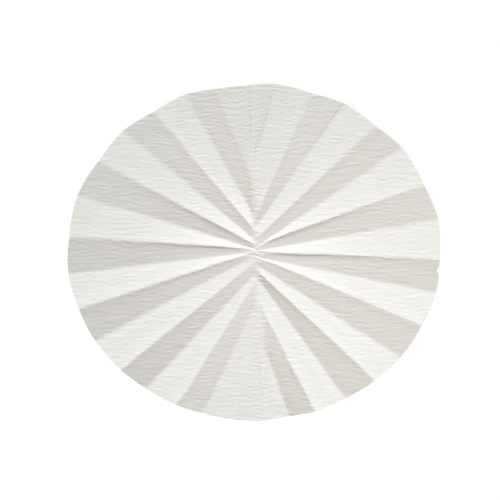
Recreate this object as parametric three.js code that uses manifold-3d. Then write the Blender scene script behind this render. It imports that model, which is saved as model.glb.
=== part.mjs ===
import * as THREE from 'three';
import Module from 'manifold-3d';
import { mergeVertices } from 'three/addons/utils/BufferGeometryUtils.js';

// A circle of filter paper that was folded across the middle, pleated as a fan
// through both layers, and opened out again so that it lies nearly flat.
// Lengths are in millimetres and angles in degrees. The valleys of the pleats lie
// on z = 0, and the centre of the circle is over the origin.

// Paper
const paperDiameter = 150;
const paperThickness = 0.4;

// Fold across the middle, a valley from the top rim through the hub to the bottom rim
const hubOffset = 0.8; // the hub, where the folds meet, lies this far right of the centre
const middleFoldLean = 2.2; // the fold's top end leans to the left
const hubBand = 1.5; // beside the hub the pleats die out over this width on each side of the fold
const middleFoldBand = 5; // and further out over this width
const hubBandEnd = 6; // distances from the hub between which the band widens
const middleFoldBandStart = 25;

// Pleats. The creases of each half are numbered from the fold's top end, which is 0, to its
// bottom end, which is 16. Here is where each one between them meets the rim, as an angle
// from the middle fold seen from the hub.
const rightCreases = [8.5, 19.5, 30.5, 42.5, 54, 68, 81, 94.5, 106.5, 118, 131.5, 142, 153.5, 163.5, 172];
const leftCreases = [10.5, 20, 31, 42.5, 55, 68.5, 82.5, 95.5, 107, 119.5, 131.5, 142, 152.5, 161.5, 171];
// How far beside the hub the line of each crease passes, above 0 towards the fold's top end
const rightMisses = [6.8, 6.1, 6.3, 4.3, 2, 3.5, 0.8, 1.2, -1.7, -1.2, -4.1, -5.2, -6, -6.5, -7.5];
const leftMisses = [7, 6.5, 5.8, 3.8, 3, 1.3, 2, 0.7, 0.8, -0.8, -2.7, -5.6, -6.3, -8, -8];
// Heights of the ridges, which are every second crease, at the inner reach and at the rim
const innerReach = 25;
const rightInnerHeights = [0.9, 0.95, 0.9, 1.1, 0.9, 1, 1.3, 0.5];
const rightRimHeights = [1.2, 1.2, 1.5, 1.2, 1.6, 1.9, 2.5, 3];
const leftInnerHeights = [1.2, 1, 1.1, 0.95, 0.95, 0.95, 0.6];
const leftRimHeights = [1.2, 1.05, 1.15, 1.75, 2.1, 2.6, 2.4];
const hubRun = 10; // a ridge leaves the hub steeply over this length and then climbs evenly
const rimZigzag = 0.7; // the ridges reach this much further out than the valleys
const creaseLand = 1; // width of the flat top or bottom of a crease
const widestLand = 0.2; // of a sector's width, where the sectors narrow towards the hub

// Nick in the right-hand rim, with its angle from the middle fold
const nickAngle = 97.7;
const nickDepth = 1.2;
const nickWidth = 2.2;

// Fineness of the mesh
const ringCount = 12;
const hubRing = 0.03; // share of the radius that the innermost ring takes
const ringGrowth = 1.3; // above 1, the rings stand closer together near the hub
const creaseSpread = 3; // least angle between neighbouring creases where they run into the fold
const landInset = 0.95; // the mesh's corners stand just inside the lands, so that these are flat

const degree = Math.PI / 180;
const paperRadius = paperDiameter / 2;

// One half of the paper. Its side is 1 to the right of the middle fold and -1 to the left.
// A position between two creases is a crease number with a fraction.
function makeHalf(side, creaseAngles, creaseMisses, firstRidge, innerHeights, rimHeights) {
  const rimAngles = [0, ...creaseAngles, 180];
  const misses = [0, ...creaseMisses, 0];
  const rimBends = misses.map((miss, number) => bendOf(miss, rimReach(side, rimAngles[number])));
  const innerByCrease = rimAngles.map(() => 0);
  const rimByCrease = rimAngles.map(() => 0);
  innerHeights.forEach((height, ridge) => {
    innerByCrease[firstRidge + 2 * ridge] = height;
    rimByCrease[firstRidge + 2 * ridge] = rimHeights[ridge];
  });
  return { side, rimAngles, misses, rimBends, innerByCrease, rimByCrease, last: rimAngles.length - 1 };
}

// Angle between a crease's own direction and that from the hub to its point at a reach
function bendOf(miss, reach) {
  return Math.asin(THREE.MathUtils.clamp(miss / reach, -1, 1)) / degree;
}

// A point by its distance across the middle fold and along it, from the hub
function foldPoint(angle, reach) {
  return { across: reach * Math.sin(angle * degree), along: reach * Math.cos(angle * degree) };
}

// Direction about the hub, turned from the middle fold to the part's +Y axis
function turnFromY(side, angle) {
  return (angle - side * middleFoldLean) * degree;
}

// Distance from the hub to the rim
function rimReach(side, angle) {
  const towardRim = hubOffset * side * Math.sin(turnFromY(side, angle));
  return Math.sqrt(towardRim ** 2 - hubOffset ** 2 + paperRadius ** 2) - towardRim;
}

// The place of a point of the paper in the part's own axes
function placeOnPaper(side, angle, reach) {
  const x = hubOffset + side * reach * Math.sin(turnFromY(side, angle));
  const y = reach * Math.cos(turnFromY(side, angle));
  return { x, y };
}

// A value between those of the two creases next to a position
function between(values, position) {
  const number = Math.min(Math.floor(position), values.length - 2);
  return THREE.MathUtils.lerp(values[number], values[number + 1], position - number);
}

// Angle at which a crease crosses the circle of a reach about the hub. A crease that has run
// into the middle fold follows the fold to the hub.
function creaseAngle(half, number, reach) {
  const least = number * creaseSpread;
  const most = 180 - (half.last - number) * creaseSpread;
  const angle = half.rimAngles[number] + half.rimBends[number] - bendOf(half.misses[number], reach);
  return THREE.MathUtils.clamp(angle, least, most);
}

// Angles of all the creases of a half at a reach, each clear of the one before it
function creaseAnglesAt(half, reach) {
  const angles = [0];
  for (let number = 1; number <= half.last; number += 1) {
    angles.push(Math.max(creaseAngle(half, number, reach), angles[number - 1] + creaseSpread));
  }
  return angles;
}

// Share of a sector's width that the flat land beside one of its creases takes
function landShare(half, number, reach) {
  const sectorWidth = reach * (half.rimAngles[number + 1] - half.rimAngles[number]) * degree;
  return Math.min(creaseLand / 2 / sectorWidth, widestLand);
}

function isRidge(half, number) {
  return half.rimByCrease[number] > 0;
}

// How far up the pleat a position lies, from 0 in a valley to 1 on a ridge
function ridgeShare(half, position, reach) {
  const number = Math.min(Math.floor(position), half.last - 1);
  const land = landShare(half, number, reach);
  const share = THREE.MathUtils.clamp((position - number - land) / (1 - 2 * land), 0, 1);
  return (isRidge(half, number) ? 1 - share : 0) + (isRidge(half, number + 1) ? share : 0);
}

// Height of a ridge at a reach, where the rim is at the sheet's radius
function ridgeHeight(half, number, reach) {
  const steep = (length) => 1 - Math.exp(-length / hubRun);
  const inner = half.innerByCrease[number] / steep(innerReach);
  const even = (half.rimByCrease[number] - inner) / (paperRadius - innerReach / steep(innerReach));
  const start = inner - even * innerReach / steep(innerReach);
  return Math.max(start * steep(reach) + even * reach, 0);
}

// Height of the underside. The ridges climb outwards, and die out at the middle fold.
function undersideHeight(half, position, angle, reach) {
  const { lerp, smoothstep } = THREE.MathUtils;
  const point = foldPoint(angle, reach);
  const number = Math.min(Math.floor(position), half.last - 1);
  const ridge = isRidge(half, number) ? number : number + 1;
  const foldEdge = creaseLand / 2;
  const fromHub = smoothstep(Math.abs(point.along), hubBandEnd, middleFoldBandStart);
  const band = lerp(hubBand, middleFoldBand, fromHub);
  const clearOfFold = smoothstep(point.across, foldEdge, foldEdge + band);
  return clearOfFold * ridgeHeight(half, ridge, reach) * ridgeShare(half, position, reach);
}

// Distance from the hub to the rim at a position, with the rim's zigzag
function zigzagReach(half, position) {
  const outward = ridgeShare(half, position, paperRadius) - 0.5;
  return rimReach(half.side, between(half.rimAngles, position)) + rimZigzag * outward;
}

// The points of one half on one ring, from the fold's top end to its bottom end:
// each sector has two at the edges of its lands and one on its flank
function ringPoints(half, ringShare) {
  const points = [];
  for (let number = 0; number < half.last; number += 1) {
    const landEdge = landInset * landShare(half, number, ringShare * paperRadius);
    for (const share of [landEdge, 0.5, 1 - landEdge]) {
      const position = number + share;
      const reach = ringShare * zigzagReach(half, position);
      const angle = between(creaseAnglesAt(half, reach), position);
      const place = placeOnPaper(half.side, angle, reach);
      points.push(new THREE.Vector3(place.x, place.y, undersideHeight(half, position, angle, reach)));
    }
  }
  return points;
}

// The sheet: an underside and an upper side of rings round the hub, joined at the rim
function makeSheet() {
  const rightHalf = makeHalf(1, rightCreases, rightMisses, 1, rightInnerHeights, rightRimHeights);
  const leftHalf = makeHalf(-1, leftCreases, leftMisses, 2, leftInnerHeights, leftRimHeights);
  const rings = [];
  for (let ring = 0; ring < ringCount; ring += 1) {
    const ringShare = hubRing + (1 - hubRing) * (ring / (ringCount - 1)) ** ringGrowth;
    rings.push([...ringPoints(rightHalf, ringShare), ...ringPoints(leftHalf, ringShare).reverse()]);
  }
  const spokeCount = rings[0].length;
  const sideLength = 1 + ringCount * spokeCount;
  const hub = new THREE.Vector3(hubOffset, 0, 0);
  const underside = [hub, ...rings.flat()];
  const upperSide = underside.map((point) => point.clone().setZ(point.z + paperThickness));
  const corner = (ring, spoke) => 1 + ring * spokeCount + (spoke % spokeCount);

  const faces = [];
  for (let spoke = 0; spoke < spokeCount; spoke += 1) {
    addFaces(faces, sideLength, 0, corner(0, spoke), corner(0, spoke + 1));
    for (let ring = 1; ring < ringCount; ring += 1) {
      const inner = [corner(ring - 1, spoke), corner(ring - 1, spoke + 1)];
      const outer = [corner(ring, spoke), corner(ring, spoke + 1)];
      addFaces(faces, sideLength, inner[0], outer[0], outer[1]);
      addFaces(faces, sideLength, inner[0], outer[1], inner[1]);
    }
    const rim = [corner(ringCount - 1, spoke), corner(ringCount - 1, spoke + 1)];
    faces.push(rim[0], rim[0] + sideLength, rim[1] + sideLength);
    faces.push(rim[0], rim[1] + sideLength, rim[1]);
  }
  const positions = [...underside, ...upperSide].flatMap((point) => point.toArray());
  const geometry = new THREE.BufferGeometry();
  geometry.setAttribute('position', new THREE.Float32BufferAttribute(positions, 3));
  geometry.setIndex(faces);
  return geometry;
}

// One triangle of the underside, seen clockwise from above, and its partner on the upper side
function addFaces(faces, sideLength, first, second, third) {
  faces.push(first, second, third);
  faces.push(first + sideLength, third + sideLength, second + sideLength);
}

// A wedge that stands through the rim and points towards the hub
function makeNickCutter() {
  const overrun = nickDepth; // how far the wedge runs on outside the rim, and above and below the paper
  const halfWidth = nickWidth / 2 * (nickDepth + overrun) / nickDepth;
  const outline = new THREE.Shape();
  outline.moveTo(-nickDepth, 0);
  outline.lineTo(overrun, -halfWidth);
  outline.lineTo(overrun, halfWidth);
  outline.closePath();
  const height = Math.max(...rightRimHeights) + paperThickness + 2 * overrun;
  const cutter = new THREE.ExtrudeGeometry(outline, { depth: height, bevelEnabled: false });
  const rim = placeOnPaper(1, nickAngle, rimReach(1, nickAngle));
  cutter.rotateZ(Math.atan2(rim.y, rim.x));
  cutter.translate(rim.x, rim.y, -overrun);
  return cutter;
}

const wasm = await Module();
wasm.setup();

// A closed solid for cutting, from a geometry
function toSolid(geometry) {
  const bare = geometry.clone();
  bare.deleteAttribute('normal');
  bare.deleteAttribute('uv');
  const merged = mergeVertices(bare, 1e-4);
  const vertProperties = new Float32Array(merged.attributes.position.array);
  const triVerts = new Uint32Array(merged.index.array);
  return new wasm.Manifold(new wasm.Mesh({ numProp: 3, vertProperties, triVerts }));
}

// A geometry, from a closed solid
function toGeometry(solid) {
  const { vertProperties, triVerts } = solid.getMesh();
  const geometry = new THREE.BufferGeometry();
  geometry.setAttribute('position', new THREE.Float32BufferAttribute(vertProperties, 3));
  geometry.setIndex(Array.from(triVerts));
  geometry.computeVertexNormals();
  return geometry;
}

const paperSolid = toSolid(makeSheet()).subtract(toSolid(makeNickCutter()));

const paper = new THREE.MeshStandardMaterial({ color: 0xf3f1ea, roughness: 0.95, metalness: 0 });

const filterPaper = new THREE.Mesh(toGeometry(paperSolid), paper);
filterPaper.name = 'filter_paper';

const object = new THREE.Group();
object.add(filterPaper);

export default object;
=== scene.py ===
import math

import bmesh
import bpy
import numpy as np
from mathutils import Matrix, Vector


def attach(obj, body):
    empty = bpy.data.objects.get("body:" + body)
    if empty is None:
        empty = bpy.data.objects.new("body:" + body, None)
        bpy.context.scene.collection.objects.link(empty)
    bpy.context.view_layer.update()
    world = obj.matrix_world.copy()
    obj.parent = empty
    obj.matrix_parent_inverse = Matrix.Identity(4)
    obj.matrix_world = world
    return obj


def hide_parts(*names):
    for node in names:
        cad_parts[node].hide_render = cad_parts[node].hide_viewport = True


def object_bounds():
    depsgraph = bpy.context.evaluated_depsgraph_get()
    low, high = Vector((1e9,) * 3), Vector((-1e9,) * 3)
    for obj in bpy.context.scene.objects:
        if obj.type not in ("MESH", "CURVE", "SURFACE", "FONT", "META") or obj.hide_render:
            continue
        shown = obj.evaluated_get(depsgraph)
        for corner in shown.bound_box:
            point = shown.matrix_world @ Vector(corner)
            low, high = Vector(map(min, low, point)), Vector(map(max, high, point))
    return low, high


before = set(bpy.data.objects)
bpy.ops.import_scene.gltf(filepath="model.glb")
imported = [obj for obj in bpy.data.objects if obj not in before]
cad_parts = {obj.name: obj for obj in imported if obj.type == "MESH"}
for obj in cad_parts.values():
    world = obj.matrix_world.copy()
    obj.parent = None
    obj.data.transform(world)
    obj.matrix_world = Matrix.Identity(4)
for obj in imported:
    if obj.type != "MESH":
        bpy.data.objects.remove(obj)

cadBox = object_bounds()
mm = 0.001
hair = 0.01                      # mm, in place of a length of 0 that something is divided by
pixels = 500                     # width and height of the picture
print("frame: one sheet,", [round((high - low) / mm, 2) for low, high in zip(*cadBox)], "mm")


# Camera: looks down on the sheet as the photo does, from far off through a long lens
view = {
    "elevation": 64.6,           # degrees above the table
    "pixelsPerMm": 2.487,
    "centreX": 253.9,            # pixel of the photo over the middle of the sheet
    "centreY": 250.6,
    "lens": 800,
    "sensor": 36,
    "clipStart": 0.1,            # metres
}


def makeCamera():
    width = pixels / view["pixelsPerMm"] * mm
    distance = width * view["lens"] / view["sensor"]
    tilt = math.radians(view["elevation"])
    middle = (cadBox[0] + cadBox[1]) / 2
    right = (pixels / 2 - view["centreX"]) / view["pixelsPerMm"] * mm
    down = (pixels / 2 - view["centreY"]) / view["pixelsPerMm"] * mm
    bpy.ops.object.camera_add()
    camera = bpy.context.object
    camera.name = "camera"
    camera.data.lens = view["lens"]
    camera.data.sensor_width = view["sensor"]
    camera.data.clip_start = view["clipStart"]
    camera.data.clip_end = distance * 2
    camera.location = (
        middle.x + right,
        -distance * math.cos(tilt) - down * math.sin(tilt),
        middle.z + distance * math.sin(tilt) - down * math.cos(tilt),
    )
    camera.rotation_euler = (math.pi / 2 - tilt, 0, 0)
    bpy.context.scene.camera = camera
    print("camera:", round(distance, 2), "m away,", view["elevation"], "degrees up")


# Shader expressions: a socket with the operators that the materials use
class Wire:
    def __init__(self, tree, socket):
        self.tree = tree
        self.socket = socket

    # Adds a node: its settings come first, then the values or links of its sockets
    def node(self, kind, settings, sockets, output=0):
        made = self.tree.nodes.new(kind)
        for name, value in settings.items():
            setattr(made, name, value)
        for name, value in sockets.items():
            if isinstance(value, Wire):
                value.feed(made.inputs[name])
            else:
                made.inputs[name].default_value = value
        return Wire(self.tree, made.outputs[output])

    def feed(self, socket):
        self.tree.links.new(self.socket, socket)

    # Another output of the same node
    def also(self, output):
        return Wire(self.tree, self.socket.node.outputs[output])

    def maths(self, operation, first, second=0.0, clamp=False):
        settings = {"operation": operation, "use_clamp": clamp}
        return self.node("ShaderNodeMath", settings, {0: first, 1: second})

    def vector(self, operation, second, output=0):
        settings = {"operation": operation}
        return self.node("ShaderNodeVectorMath", settings, {0: self, 1: second}, output)

    def blended(self, share, first, second):
        sockets = {0: share, 6: first, 7: second}
        return self.node("ShaderNodeMix", {"data_type": "RGBA"}, sockets, 2)

    def __add__(self, other):
        return self.maths("ADD", self, other)

    def __radd__(self, other):
        return self.maths("ADD", other, self)

    def __sub__(self, other):
        return self.maths("SUBTRACT", self, other)

    def __rsub__(self, other):
        return self.maths("SUBTRACT", other, self)

    def __mul__(self, other):
        return self.maths("MULTIPLY", self, other)

    def __rmul__(self, other):
        return self.maths("MULTIPLY", other, self)

    def __truediv__(self, other):
        return self.maths("DIVIDE", self, other)

    def __rtruediv__(self, other):
        return self.maths("DIVIDE", other, self)

    def __abs__(self):
        return self.maths("ABSOLUTE", self)

    def clamped(self):
        return self.maths("ADD", self, 0.0, clamp=True)


def newMaterial(name):
    material = bpy.data.materials.new(name)
    material.use_nodes = True
    shader = material.node_tree.nodes["Principled BSDF"]
    return material, shader, Wire(material.node_tree, shader.outputs[0])


# 1 for what the camera sees, straight or by way of gloss or glass, and 0 for other light
def seenByCamera(wire):
    path = wire.node("ShaderNodeLightPath", {}, {}, "Is Camera Ray")
    return (path + path.also("Is Glossy Ray") + path.also("Is Transmission Ray")).clamped()


# Sheet: the circle and its folds, in millimetres and degrees. The creases of each half are
# numbered from the top end of the middle fold, which is 0, to its bottom end, which is 16
sheet = {
    "diameter": 150,
    "thickness": 0.4,
    "hubOffset": 0.8,            # the hub lies this far right of the centre
    "hubDrop": 0.49,             # and this far in front of it
    "middleFoldLean": 2.2,       # the middle fold's top end leans to the left
    # where the creases meet the rim, as angles from the middle fold seen from the hub
    "rightCreases": [
        8.5, 19.5, 30.5, 42.5, 54, 68, 81, 94.5, 106.5, 118, 131.5, 142, 153.5, 163.5, 172
    ],
    "leftCreases": [
        10.5, 20, 31, 42.5, 55, 68.5, 82.5, 95.5, 107, 119.5, 131.5, 142, 152.5, 161.5, 171
    ],
    # how far beside the hub their lines pass, above 0 towards the middle fold's top end
    "rightMisses": [11, 6.1, 6.3, 4.3, 2, 3.5, 0.8, 1.2, -1.7, -1.2, -4.1, -5.2, -6, -8.3, -10],
    "leftMisses": [10.3, 6.5, 5.8, 3.8, 3, 1.3, 2, 0.7, 0.8, -0.8, -2.7, -5.6, -6.3, -8.3, -8],
    # heights of the ridges, which are creases 1, 3 to 15 at the right and 2, 4 to 14 at the
    # left, at the inner reach and at the rim
    "innerReach": 25,
    "rightInner": [0.9, 0.95, 0.9, 1.1, 0.9, 1.0, 1.3, 0.5],
    "rightRim": [1.2, 1.2, 1.5, 1.2, 1.6, 1.9, 2.5, 3.0],
    "leftInner": [1.2, 1.0, 1.1, 0.95, 0.95, 0.95, 0.6],
    "leftRim": [1.2, 1.05, 1.15, 1.75, 2.1, 2.6, 2.4],
    "hubRun": 10,                # a ridge leaves the hub steeply over this length
    "creaseSpread": 1.5,         # least angle between neighbouring creases
    "fadeAngles": (4, 12),       # a ridge fades out where its pleat narrows between these
    "valleyRound": 0.3,          # how far a valley is rounded
    "ridgeRound": 0.4,
    "flankRounds": 4,            # a flank is at least this many roundings wide
    "edgeSteepness": 0.15,       # flanks are this much steeper beside their creases
    "valleySteepness": 0.1,      # and this much more at the valley, and less at the ridge
    "rimZigzag": 0.7,            # ridges reach this much further out than valleys
    "zigzagPower": 4,            # how fast that fades away from the rim
    "hubBand": 2,                # the two halves blend over this width beside the hub
    "foldBand": 3,               # and over this one further out along the middle fold
    "bandChange": (10, 38),      # from the first width to the second, away from the hub
}

# Slits: near the hub some valleys are rounded on their upper side and steep on their lower
# side. Each number is the share of the ridge's height that is climbed there
slits = {
    "right": {4: 0.2, 6: 0.55, 8: 0.85},
    "left": {5: 0.5, 7: 0.75, 9: 0.35},
    "others": 0.12,
    "width": 1.0,                # of the steep climb
    "flankWidths": 3.5,          # a flank is at least this many climbs wide
    "round": 1.6,                # rounding of the upper side
    "reach": 36,                 # they fade out over this distance from the hub
}

# Bows: how far a crease is bent downwards. It is most at the reach, and fades over the spread
bows = {"right": {8: 0.5}, "left": {}, "reach": 15, "spread": 15, "leastReach": 5}


def smoothStep(low, high, value):
    share = np.clip((value - low) / (high - low), 0, 1)
    return share * share * (3 - 2 * share)


def mix(first, second, share):
    return first + (second - first) * share


# A point by its distance across the middle fold, to the right, and along it, from the hub
def foldPoint(x, y):
    lean = math.radians(sheet["middleFoldLean"])
    beside = x - sheet["hubOffset"]
    beyond = y + sheet["hubDrop"]
    across = beside * math.cos(lean) + beyond * math.sin(lean)
    along = beyond * math.cos(lean) - beside * math.sin(lean)
    return across, along


# How far the rim is from the hub at an angle. side is 1 for the right half and -1 for the left
def rimReach(side, angle):
    turned = np.radians(angle - side * sheet["middleFoldLean"])
    offset = sheet["hubOffset"]
    towardRim = offset * side * np.sin(turned)
    return np.sqrt(towardRim**2 - offset**2 + (sheet["diameter"] / 2) ** 2) - towardRim


# The creases of one half, with the middle fold's two ends as the first and the last of them
def halfFold(side, name):
    rimAngles = np.array([0, *sheet[name + "Creases"], 180], float)
    misses = np.array([0, *sheet[name + "Misses"], 0], float)
    count = len(rimAngles)
    isRidge = np.arange(count) % 2 == (1 if side == 1 else 0)
    isRidge[[0, -1]] = False
    inner = np.zeros(count)
    outer = np.zeros(count)
    inner[isRidge] = sheet[name + "Inner"]
    outer[isRidge] = sheet[name + "Rim"]
    climb = np.where(isRidge, 0, slits["others"])
    climb[[0, -1]] = 0
    for number, share in slits[name].items():
        climb[number] = share
    bow = np.zeros(count)
    for number, shift in bows[name].items():
        bow[number] = shift
    return {
        "side": side,
        "rimAngles": rimAngles,
        "misses": misses,
        "rimBends": np.arcsin(misses / rimReach(side, rimAngles)),
        "isRidge": isRidge,
        "inner": inner,
        "outer": outer,
        "climb": climb,
        "bow": bow,
    }


# Angles at which the creases cross a circle about the hub, with a row for each reach. A crease
# that has met the middle fold further out takes it along, below 0 or above 180
def creaseAngles(half, reach):
    numbers = np.arange(len(half["rimAngles"]))
    bends = np.arcsin(np.clip(half["misses"] / np.maximum(reach, hair)[:, None], -1, 1))
    angles = half["rimAngles"] + np.degrees(half["rimBends"] - bends)
    bent = np.exp(-(((reach - bows["reach"]) / bows["spread"]) ** 2))
    bent = bent / np.maximum(reach, bows["leastReach"])
    angles = angles + np.degrees(half["bow"] * bent[:, None])
    spread = sheet["creaseSpread"]
    angles[:, 0] = np.minimum(0, angles[:, 1] - spread)
    angles = np.maximum.accumulate(angles - numbers * spread, 1) + numbers * spread
    angles[:, -1] = np.maximum(180, angles[:, -1])
    return angles


# Height of a crease at a reach: it leaves the hub steeply and then climbs evenly
def creaseHeight(half, number, reach):
    steep = 1 - np.exp(-reach / sheet["hubRun"])
    innerSteep = 1 - math.exp(-sheet["innerReach"] / sheet["hubRun"])
    radius = sheet["diameter"] / 2
    inner = half["inner"][number]
    outer = half["outer"][number]
    even = (outer - inner / innerSteep) / (radius - sheet["innerReach"] / innerSteep)
    start = (inner - even * sheet["innerReach"]) / innerSteep
    return np.maximum(start * steep + even * reach, 0)


# Height of one half's folds at a point, and how far up its flank the point lies
def flankHeight(half, across, along, wobble):
    reach = np.hypot(across, along)
    angle = np.clip(np.degrees(np.arctan2(across, along)) + wobble, 0, 179.99)
    creases = creaseAngles(half, reach)
    number = np.clip((creases <= angle[:, None]).sum(1) - 1, 0, creases.shape[1] - 2)
    row = np.arange(len(reach))
    start = creases[row, number]
    step = creases[row, number + 1] - start
    share = np.clip((angle - start) / step, 0, 1)
    width = np.maximum(reach * np.radians(step), hair)
    startRidge = half["isRidge"][number]
    endRidge = half["isRidge"][number + 1]

    # the flank between its two rounded creases: 0 at the valley and 1 at the ridge
    nearHub = np.exp(-((reach / slits["reach"]) ** 2))
    startClimb = half["climb"][number] * nearHub
    endClimb = half["climb"][number + 1] * nearHub
    startRound = np.where(startRidge, sheet["ridgeRound"], sheet["valleyRound"])
    endValley = mix(sheet["valleyRound"], slits["round"], endClimb)
    endRound = np.where(endRidge, sheet["ridgeRound"], endValley)
    mostRound = width / sheet["flankRounds"]
    startRound = np.minimum(startRound, mostRound)
    endRound = np.minimum(endRound, mostRound)
    fromStart = np.hypot(share * width, startRound) - startRound
    fromEnd = np.hypot((1 - share) * width, endRound) - endRound
    rise = fromStart / (fromStart + fromEnd)
    rise = np.where(startRidge, 1 - rise, rise)
    rise = rise + sheet["edgeSteepness"] / (2 * np.pi) * np.sin(2 * np.pi * rise)
    rise = rise + sheet["valleySteepness"] * rise * (1 - rise)

    # the steep climb of a slit, just below its valley
    fromValley = share * width
    climbWidth = np.minimum(slits["width"], width / slits["flankWidths"])
    rise = mix(rise, fromValley**2 / (fromValley**2 + climbWidth**2), startClimb)

    ridge = np.where(startRidge, number, number + 1)
    isPleat = startRidge | endRidge
    before = creases[row, np.maximum(ridge - 1, 0)]
    after = creases[row, np.minimum(ridge + 1, creases.shape[1] - 1)]
    height = creaseHeight(half, ridge, reach)
    height = height * smoothStep(*sheet["fadeAngles"], after - before)
    return np.where(isPleat, height * rise, 0), np.where(isPleat, rise, 0)


# Pinches: narrow raised folds that wind past the hub from one half to the other
pinches = {
    "height": 0.15,
    "halfWidth": 0.42,
    "swell": 3,                  # they swell from nothing over this length at their ends
    "lines": [
        [(-6, 2.4), (-3.1, 1.7), (0.1, 1.4), (1.2, 0.1), (3.1, -0.5), (6, 0)],
        [(-7, -1.1), (0, -1.3), (1.2, -1.9), (4.3, -3.3), (9, -4.9)],
        [(0.1, 1.4), (1, 2.1), (3.1, 3.5), (6, 4.9)],
    ],
}


def pinchHeight(x, y):
    height = np.zeros_like(x)
    for line in pinches["lines"]:
        knots = np.array(line, float)
        lengths = np.hypot(*np.diff(knots, axis=0).T)
        fromEnd = np.concatenate([[0], np.cumsum(lengths)])
        away = np.full_like(x, sheet["diameter"])
        place = np.zeros_like(x)
        for start, end, length, passed in zip(knots[:-1], knots[1:], lengths, fromEnd):
            run = end - start
            share = ((x - start[0]) * run[0] + (y - start[1]) * run[1]) / length**2
            share = np.clip(share, 0, 1)
            gap = np.hypot(x - start[0] - run[0] * share, y - start[1] - run[1] * share)
            place = np.where(gap < away, passed + share * length, place)
            away = np.minimum(away, gap)
        swell = smoothStep(0, pinches["swell"], place)
        swell = swell * smoothStep(0, pinches["swell"], fromEnd[-1] - place)
        height = np.maximum(height, swell * np.exp(-((away / pinches["halfWidth"]) ** 2)))
    return height * pinches["height"]


# Height of the folded sheet's underside over the table
def foldHeight(x, y, wobble):
    across, along = foldPoint(x, y)
    rightPart = flankHeight(rightHalf, np.maximum(across, 0), along, wobble)[0]
    leftPart = flankHeight(leftHalf, np.maximum(-across, 0), along, wobble)[0]
    fromHub = smoothStep(*sheet["bandChange"], np.abs(along))
    band = mix(sheet["hubBand"], sheet["foldBand"], fromHub)
    onFold = (rightPart + leftPart) / 2 * (1 - fromHub)
    right = mix(onFold, rightPart, smoothStep(0, band, across))
    left = mix(onFold, leftPart, smoothStep(0, band, -across))
    return np.where(across > 0, right, left) + pinchHeight(x, y)


# Crepe: fine wrinkles that run across the sheet
crepe = {
    "seed": 7,
    # random waves, drawn in this order: their length from left to right, the pitch from one to
    # the next and how long they keep it. A long pitch gives plain hills and hollows
    "waves": {
        "sway": (14, 1000, 14),
        "fine": (4.5, 1.75, 4.5),
        "long": (11, 3, 9),
        "broad": (16, 1000, 12),
        "wander": (12, 1000, 12),
    },
    "height": 0.017,             # of the fine wrinkles
    "longHeight": 0.009,         # of the longer, fainter ones
    "sway": 0.3,                 # how far both wander up and down
    "wobble": 0.1,               # degrees that the creases wander
    "buckle": 0.05,              # height of the broad unevenness
    "buckleStart": 30,           # which grows over this distance from the hub
    "hubShare": 0.6,             # the wrinkles' height at the hub, as a share
    "hubFade": (10, 50),         # and between which distances they grow to all of it
    "alongWeight": 1.5,          # a distance along the middle fold counts for more there
    "foldShare": 1.4,            # beside the middle fold they are higher
    "foldWidth": 6,
    "foldStart": (3, 8),         # but not beside the hub
    "points": 1024,              # along each side of the square that the waves are drawn on
    "span": 170.0,               # that square's side
}


# A random field with waves of one kind and a height of about 1, to be read at any place
def waveField(random, length, pitch, spread):
    points = crepe["points"]
    span = crepe["span"]
    frequency = np.fft.fftfreq(points, span / points)
    frequencyX, frequencyY = np.meshgrid(frequency, frequency)
    strength = np.exp(-((frequencyX * length) ** 2) / 2)
    strength = strength * np.exp(-(((np.abs(frequencyY) - 1 / pitch) * spread) ** 2) / 2)
    noise = random.standard_normal((points, points))
    field = np.fft.ifft2(np.fft.fft2(noise) * strength).real
    field = field / field.std()

    def sample(x, y):
        column = (x / span + 0.5) * points
        row = (y / span + 0.5) * points
        left = np.floor(column).astype(int)
        low = np.floor(row).astype(int)
        across = column - left
        up = row - low
        left, low = left % points, low % points
        right, high = (left + 1) % points, (low + 1) % points
        lower = mix(field[low, left], field[low, right], across)
        upper = mix(field[high, left], field[high, right], across)
        return mix(lower, upper, up)

    return sample


# Height that the wrinkles and the broad unevenness add at a point
def crepeHeight(x, y, waves):
    across, along = foldPoint(x, y)
    swayed = y + crepe["sway"] * waves["sway"](x, y)
    wrinkles = crepe["height"] * waves["fine"](x, swayed)
    wrinkles = wrinkles + crepe["longHeight"] * waves["long"](x, swayed)
    fromHub = np.abs(across) + crepe["alongWeight"] * np.abs(along)
    nearHub = mix(crepe["hubShare"], 1, smoothStep(*crepe["hubFade"], fromHub))
    besideFold = np.exp(-((across / crepe["foldWidth"]) ** 2))
    besideFold = besideFold * smoothStep(*crepe["foldStart"], np.abs(along))
    wrinkles = wrinkles * np.maximum(nearHub, besideFold * crepe["foldShare"])
    hills = (waves["broad"](x, y) + 2) / 4      # about 0 to 1, because most waves are within 2
    hills = hills * smoothStep(0, crepe["buckleStart"], np.hypot(across, along))
    return wrinkles + crepe["buckle"] * hills


# Mesh: rows of points from rim to rim, with some of them moved onto the creases
mesh = {
    "rows": 400,
    "columns": 120,
    "turn": 0.88,                # beyond this share of the way up the rows draw together
    "evenShare": 0.68,           # below 1 a row's points lie closer together near its middle
    "snapRounds": 2,
    "snapShare": 0.5,            # a point moves onto a crease over at most this share of a step
    "snapFromFold": 1,           # and only where it is further than this from the middle fold
    "snapFromHub": 3,            # and from the hub
    "weld": 0.02,                # points closer together than this are merged
    "smoothAngle": 10,           # sharper edges than this stay sharp
}


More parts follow.
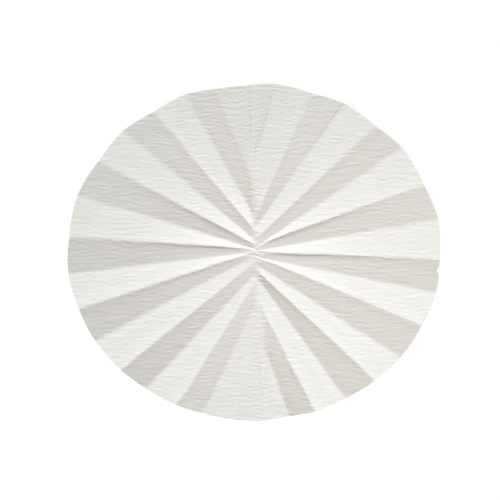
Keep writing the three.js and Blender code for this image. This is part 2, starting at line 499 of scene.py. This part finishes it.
# Flat places of the mesh's points, and the steps from one to the next. u and v run from -1 to 1
def flatPlaces(u, v):
    turn = mesh["turn"]
    height = np.abs(v)
    even = mesh["evenShare"]
    closer = 1 - (1 - height) ** 2 / (1 - turn**2)
    rowShare = np.where(height > turn, closer, height * 2 / (1 + turn))
    radius = sheet["diameter"] / 2
    y = radius * np.sign(v) * rowShare
    chord = np.sqrt(np.maximum(radius**2 - y**2, 0))
    x = chord * (even * u + (1 - even) * u**3)
    stepX = chord * (even + 3 * (1 - even) * u**2) * 2 / mesh["columns"]
    stepY = radius * 2 / (1 + turn) * 2 / mesh["rows"]
    return x, y, stepX, stepY


# Moves the points that lie beside a crease onto it, along their row or their column
def snapToCreases(x, y, stepX, stepY, canMove, wander):
    lean = math.radians(sheet["middleFoldLean"])
    mostX = stepX * mesh["snapShare"]
    mostY = stepY * mesh["snapShare"]
    for half in (rightHalf, leftHalf):
        side = half["side"]
        for _ in range(mesh["snapRounds"]):
            across, along = foldPoint(x, y)
            across = across * side
            reach = np.hypot(across, along)
            angle = np.degrees(np.arctan2(across, along)) + crepe["wobble"] * wander(x, y)
            creases = creaseAngles(half, reach)[:, 1:-1]
            nearest = np.abs(creases - angle[:, None]).argmin(1)
            gap = reach * np.radians(creases[np.arange(len(x)), nearest] - angle)
            turned = np.radians(angle)
            # direction of a growing angle, first beside the middle fold, then on the table
            stepAcross = np.cos(turned) * side
            stepAlong = -np.sin(turned)
            pushX = stepAcross * math.cos(lean) - stepAlong * math.sin(lean)
            pushY = stepAcross * math.sin(lean) + stepAlong * math.cos(lean)
            alongRow = np.abs(pushX) * stepX > np.abs(pushY) * stepY
            moveX = np.where(alongRow, gap / np.where(alongRow, pushX, 1), 0)
            moveY = np.where(alongRow, 0, gap / np.where(alongRow, 1, pushY))
            close = (np.abs(moveX) <= mostX) & (np.abs(moveY) <= mostY) & canMove
            close = close & (across > mesh["snapFromFold"]) & (reach > mesh["snapFromHub"])
            x = x + np.where(close, moveX, 0)
            y = y + np.where(close, moveY, 0)
    return x, y


# Nick: a small notch in the rim at the right, longer below its tip than above it
nick = {
    "angle": 98.3,
    "depth": 1.35,
    "above": 1.7,
    "below": 2.5,
    "start": 0.95,               # it pulls in the points beyond this share of the radius
}


# Moves the points outwards or inwards for the zigzag of the rim and the nick
def rimShift(x, y):
    radius = sheet["diameter"] / 2
    reach = np.maximum(np.hypot(x, y), hair)
    outward = np.clip(reach / radius, 0, 1)
    across, along = foldPoint(x, y)
    rightRise = flankHeight(rightHalf, np.maximum(across, 0), along, 0 * x)[1]
    leftRise = flankHeight(leftHalf, np.maximum(-across, 0), along, 0 * x)[1]
    aboveMiddle = np.where(across > 0, rightRise, leftRise) - 0.5
    zigzag = sheet["rimZigzag"] * aboveMiddle * outward ** sheet["zigzagPower"]
    angle = np.degrees(np.arctan2(across, along))
    fromTip = np.radians(angle - nick["angle"]) * radius
    fromTip = np.where(fromTip > 0, fromTip / nick["below"], -fromTip / nick["above"])
    notch = nick["depth"] * np.clip(1 - fromTip, 0, 1) * smoothStep(nick["start"], 1, outward)
    larger = 1 + (zigzag - notch) / reach
    return x * larger, y * larger


# Cuts the mesh's squares along the diagonal that runs with the creases
def cutSquares(paper):
    shape = bmesh.new()
    shape.from_mesh(paper.data)
    rising = []
    falling = []
    for face in shape.faces:
        middle = face.calc_center_median()
        runsUp = (middle.x / mm - sheet["hubOffset"]) * middle.y > 0
        (rising if runsUp else falling).append(face)
    for faces, wanted in ((rising, 1), (falling, -1)):
        first = []
        second = []
        for face in faces:
            if len(face.verts) == 4:
                diagonal = face.verts[2].co - face.verts[0].co
                (first if diagonal.x * diagonal.y * wanted > 0 else second).append(face)
        bmesh.ops.triangulate(shape, faces=first, quad_method="FIXED")
        bmesh.ops.triangulate(shape, faces=second, quad_method="ALTERNATE")
    shape.to_mesh(paper.data)
    shape.free()


def makePaper():
    bpy.ops.object.select_all(action="DESELECT")
    bpy.ops.mesh.primitive_grid_add(
        x_subdivisions=mesh["columns"], y_subdivisions=mesh["rows"], size=2
    )
    paper = bpy.context.object
    paper.name = "paper_sheet"
    count = len(paper.data.vertices)
    places = np.empty(count * 3)
    paper.data.vertices.foreach_get("co", places)
    u, v = places.reshape(count, 3)[:, :2].T
    x, y, stepX, stepY = flatPlaces(u, v)

    random = np.random.default_rng(crepe["seed"])
    waves = {name: waveField(random, *kind) for name, kind in crepe["waves"].items()}
    inside = (np.abs(u) < 1) & (np.abs(v) < 1)
    x, y = snapToCreases(x, y, stepX, stepY, inside, waves["wander"])
    z = foldHeight(x, y, crepe["wobble"] * waves["wander"](x, y)) + sheet["thickness"] / 2
    z = z + crepeHeight(x, y, waves)
    x, y = rimShift(x, y)
    places = np.stack([x, y, z], 1) * mm
    paper.data.vertices.foreach_set("co", places.ravel())
    paper.data.update()

    bpy.ops.object.mode_set(mode="EDIT")
    bpy.ops.mesh.select_all(action="SELECT")
    bpy.ops.mesh.remove_doubles(threshold=mesh["weld"] * mm)
    bpy.ops.mesh.normals_make_consistent(inside=False)
    bpy.ops.object.mode_set(mode="OBJECT")
    cutSquares(paper)
    solid = paper.modifiers.new("thickness", "SOLIDIFY")
    solid.thickness = sheet["thickness"] * mm
    solid.offset = 0
    bpy.ops.object.modifier_apply(modifier=solid.name)
    bpy.ops.object.shade_smooth_by_angle(angle=math.radians(mesh["smoothAngle"]))
    triangles = sum(len(face.vertices) - 2 for face in paper.data.polygons)
    print("paper sheet:", triangles, "triangles")
    return paper


# Paper finish: off-white, matt, with fibres, dark crease lines, painted shade in folds and four
# specks
finish = {
    "colour": (0.895, 0.878, 0.842, 1),
    "shadeColour": (0.865, 0.846, 0.804, 1),
    "roughness": 0.92,
    "specular": 0.25,
    "clouds": {"Scale": 90.0, "Detail": 3.0, "Roughness": 0.55},
    "fibres": {"Scale": 2600.0, "Detail": 4.0, "Roughness": 0.6},
    "ripples": {"Scale": 1.0, "Detail": 3.0, "Roughness": 0.5},
    "rippleStretch": (400.0, 1000.0, 400.0),    # ripples to a metre each way
    # how much each of the three adds to the shade
    "cloudShare": 0.5,
    "fibreShare": 0.15,
    "rippleShare": 0.35,
    "rippleBump": 0.8,
    "rippleHeight": 0.05,
    "fibreBump": 0.25,
    "fibreHeight": 0.01,
    "speckColour": (0.30, 0.25, 0.19, 1),
    "speckStrength": 0.6,
    "speckRadius": 0.28,
    "specks": [(45.1, 2.5), (56.3, 1.1), (46.3, -43.8), (50.7, -50.9)],
    "lineAndShadeColour": (0.5, 0.45, 0.37, 1),
    "lineHalfWidth": 0.6,
    # dark lines, each from one end to the other, with how dark its middle is: along the middle
    # fold and along four creases, and painted shade in the narrow folds beside the hub
    "creaseLinesAndFoldShade": [
        # darker lines along the middle fold and four creases
        ((-2.1, 75), (-0.9, 43), 0.22),
        ((8.2, 74), (1.6, 46), 0.24),
        ((46.5, 82.5), (19.5, 41), 0.34),
        ((-38, 59), (-26, 44.5), 0.22),
        ((18.5, -62), (12.8, -48), 0.28),
        ((3.5, -73), (1.6, -35), 0.15),
        # painted shade: these six darken the narrow folds beside the hub, where shade falls
        ((1.5, -1.0), (22, -1.5), 0.6),
        ((-2.5, 0.8), (-26, 2.8), 0.45),
        ((0.2, 1.2), (-9, 6.8), 0.3),
        ((1.2, 1.3), (16, 8.9), 0.35),
        ((2.2, -3.1), (16, -9.6), 0.3),
        ((-1.5, -2.3), (-20, -6.2), 0.25),
    ],
}


# A dark line, along a crease or as painted shade in a fold beside the hub: 1 in its middle, and
# 0 at its sides and its ends
def darkLineShare(place, start, end):
    length = math.dist(start, end)
    alongX = (end[0] - start[0]) / length
    alongY = (end[1] - start[1]) / length
    fromStart = place.vector("SUBTRACT", (start[0] * mm, start[1] * mm, 0))
    passed = fromStart.vector("DOT_PRODUCT", (alongX, alongY, 0), "Value")
    beside = fromStart.vector("DOT_PRODUCT", (alongY, -alongX, 0), "Value")
    onLine = (1.0 - abs(beside) / (finish["lineHalfWidth"] * mm)).clamped()
    return onLine * (1.0 - abs(passed / (length * mm) - 0.5) * 2).clamped()


def paperMaterial():
    material, shader, wire = newMaterial("creped_paper")
    place = wire.node("ShaderNodeTexCoord", {}, {}, "Object")
    stretch = {"Vector": place, "Scale": finish["rippleStretch"]}
    stretched = wire.node("ShaderNodeMapping", {}, stretch)
    noise = "ShaderNodeTexNoise"
    clouds = wire.node(noise, {}, {"Vector": place, **finish["clouds"]}, "Fac")
    fibres = wire.node(noise, {}, {"Vector": place, **finish["fibres"]}, "Fac")
    ripples = wire.node(noise, {}, {"Vector": stretched, **finish["ripples"]}, "Fac")

    shade = finish["cloudShare"] * clouds + finish["rippleShare"] * ripples
    shade = (shade + finish["fibreShare"] * fibres).clamped()
    colour = wire.blended(shade, finish["colour"], finish["shadeColour"])
    # darkens the colour along each listed line: crease lines, and painted shade in the narrow
    # folds beside the hub
    for start, end, depth in finish["creaseLinesAndFoldShade"]:
        lineDarkening = darkLineShare(place, start, end)
        colour = wire.blended(lineDarkening * depth, colour, finish["lineAndShadeColour"])
    flat = place.vector("MULTIPLY", (1.0, 1.0, 0.0))
    for x, y in finish["specks"]:
        away = flat.vector("DISTANCE", (x * mm, y * mm, 0.0), "Value")
        speck = (1.0 - away / (finish["speckRadius"] * mm)).clamped()
        colour = wire.blended(speck * finish["speckStrength"], colour, finish["speckColour"])
    colour.feed(shader.inputs["Base Color"])
    shader.inputs["Roughness"].default_value = finish["roughness"]
    shader.inputs["Specular IOR Level"].default_value = finish["specular"]

    rippled = wire.node("ShaderNodeBump", {}, {
        "Strength": finish["rippleBump"],
        "Distance": finish["rippleHeight"] * mm,
        "Height": ripples,
    })
    fuzzy = wire.node("ShaderNodeBump", {}, {
        "Strength": finish["fibreBump"],
        "Distance": finish["fibreHeight"] * mm,
        "Height": fibres,
        "Normal": rippled,
    })
    fuzzy.feed(shader.inputs["Normal"])
    print("material: creped paper")
    return material


# Floor: plain and pale, nearly white to the camera, and it keeps the sheet's soft shadow
floorLook = {
    "size": 3.0,                 # metres
    "below": 0.05,               # mm under the sheet
    "colour": (0.9, 0.9, 0.9, 1),
    "whiteShare": 0.9,
    "whiteStrength": 1.06,
}


def makeFloor():
    bpy.ops.object.select_all(action="DESELECT")
    low = (0, 0, -floorLook["below"] * mm)
    bpy.ops.mesh.primitive_plane_add(size=floorLook["size"], location=low)
    floor = bpy.context.object
    floor.name = "floor"
    material, shader, wire = newMaterial("pale_floor")
    shader.inputs["Base Color"].default_value = floorLook["colour"]
    shader.inputs["Roughness"].default_value = 1
    white = wire.node("ShaderNodeEmission", {}, {"Strength": floorLook["whiteStrength"]})
    share = seenByCamera(wire) * floorLook["whiteShare"]
    surface = wire.node("ShaderNodeMixShader", {}, {0: share, 1: wire, 2: white})
    surface.feed(material.node_tree.nodes["Material Output"].inputs["Surface"])
    floor.data.materials.append(material)
    print("floor: pale plane")


# Lights: one soft lamp low in front of the sheet, a weak one close above its right side, and a
# pale room. An azimuth of 0 is in front of the sheet, and 90 is to its right
lights = {
    "key": {
        "azimuth": -7.5,
        "elevation": 28,
        "distance": 4.0,
        "size": 1.2,
        "power": 203.0,
        "colour": (0.92, 0.965, 1),
    },
    "side": {
        "azimuth": 79,
        "elevation": 73,
        "distance": 0.22,
        "size": 0.1,
        "power": 0.134,
        "colour": (1, 0.96, 0.905),
    },
    "roomStrength": 0.085,
    "roomColour": (1, 0.8, 0.55, 1),
}


def makeLamp(name, lamp):
    turn = math.radians(lamp["azimuth"])
    rise = math.radians(lamp["elevation"])
    flat = lamp["distance"] * math.cos(rise)
    spot = (flat * math.sin(turn), -flat * math.cos(turn), lamp["distance"] * math.sin(rise))
    facing = (math.pi / 2 - rise, 0, turn)
    bpy.ops.object.light_add(type="AREA", location=spot, rotation=facing)
    made = bpy.context.object
    made.name = name
    made.data.shape = "DISK"
    made.data.size = lamp["size"]
    made.data.energy = lamp["power"]
    made.data.color = lamp["colour"]
    made.visible_camera = False


# The room lights the sheet a little, and is white where the camera sees it
def makeRoom():
    world = bpy.data.worlds.new("room")
    bpy.context.scene.world = world
    world.use_nodes = True
    tree = world.node_tree
    background = tree.nodes["Background"]
    background.inputs["Color"].default_value = lights["roomColour"]
    background.inputs["Strength"].default_value = lights["roomStrength"]
    wire = Wire(tree, background.outputs[0])
    white = wire.node("ShaderNodeBackground", {}, {"Color": (1, 1, 1, 1), "Strength": 1.0})
    share = seenByCamera(wire)
    surface = wire.node("ShaderNodeMixShader", {}, {0: share, 1: wire, 2: white})
    surface.feed(tree.nodes["World Output"].inputs["Surface"])
    print("lights: key, side and room")


rightHalf = halfFold(1, "right")
leftHalf = halfFold(-1, "left")

makeCamera()
paper = makePaper()
paper.data.materials.append(paperMaterial())
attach(paper, "root")
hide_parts("filter_paper")
makeFloor()
makeLamp("key_lamp", lights["key"])
makeLamp("side_lamp", lights["side"])
makeRoom()

bpy.context.scene.view_settings.view_transform = "Standard"
